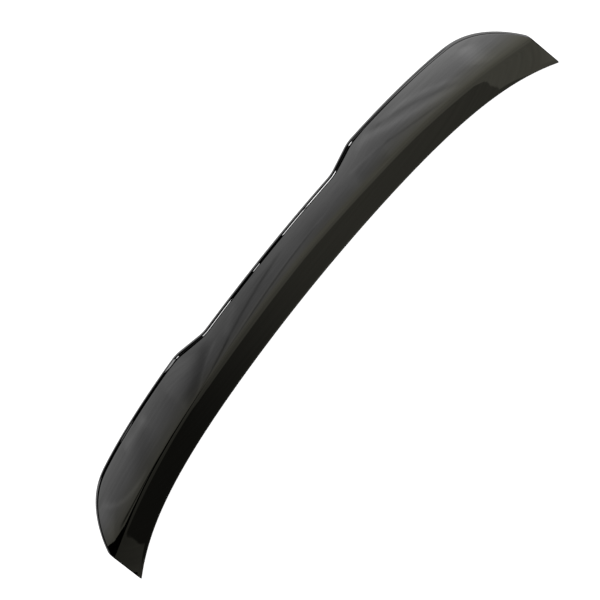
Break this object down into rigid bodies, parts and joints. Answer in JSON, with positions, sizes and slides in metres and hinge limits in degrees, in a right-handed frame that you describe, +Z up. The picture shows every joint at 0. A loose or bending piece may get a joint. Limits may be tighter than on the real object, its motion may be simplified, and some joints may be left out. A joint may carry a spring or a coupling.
{
  "type": "car lip spoiler",
  "caption": "Gloss black lip spoiler for a car's boot lid: a long bowed hollow moulding with a dark front face, a ridge, a flatter blade, wings and a recessed middle.",
  "frame": {"origin": "under the middle of the moulding, level with its lowest point, the rear bonding land near the tips", "axes": "+X along the span from tip to tip, +Y to the rear of the car, +Z up"},
  "size_m": [1.2, 0.2051, 0.0572],
  "materials": {
    "gloss_black": "deep gloss black, mirror smooth on the outside"
  },
  "bodies": {
    "root": {"spoiler_shell": "gloss_black"}
  },
  "joints": []
}
